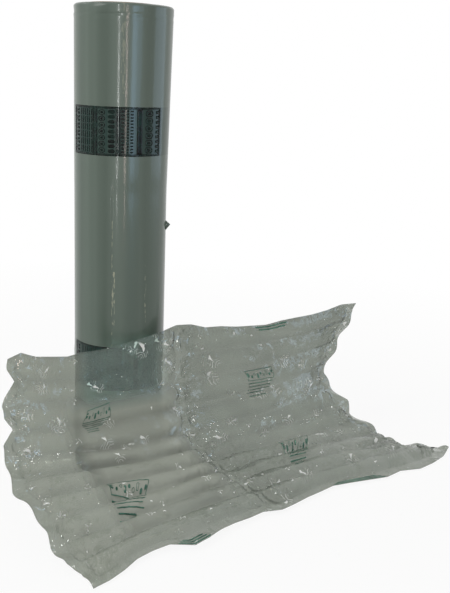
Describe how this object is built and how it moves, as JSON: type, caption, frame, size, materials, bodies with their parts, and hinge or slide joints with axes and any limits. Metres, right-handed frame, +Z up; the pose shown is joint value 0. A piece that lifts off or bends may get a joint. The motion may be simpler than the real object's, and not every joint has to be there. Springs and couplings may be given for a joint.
{
  "type": "bubble wrap roll",
  "caption": "Upright roll of air cushion film on a cardboard core, with an inflated, cross-quilted length of the same film leaning on its foot.",
  "frame": {"origin": "on the roll's axis, at the level that the roll and the sheet stand on", "axes": "+Z up along the core's bore, -Y towards the viewer, +X to the right"},
  "size_m": [0.3911, 0.335, 0.4],
  "materials": {
    "core_card": "spiral-wound kraft board",
    "wound_film": "many turns of clear grey-green polyethylene film",
    "sheet_film": "inflated clear polyethylene film",
    "ink": "dark green ink printed on the film"
  },
  "bodies": {
    "root": {"core_tube": "core_card", "film_roll": "wound_film", "roll_print": "ink", "cushion_sheet": "sheet_film", "sheet_print": "ink"}
  },
  "joints": []
}
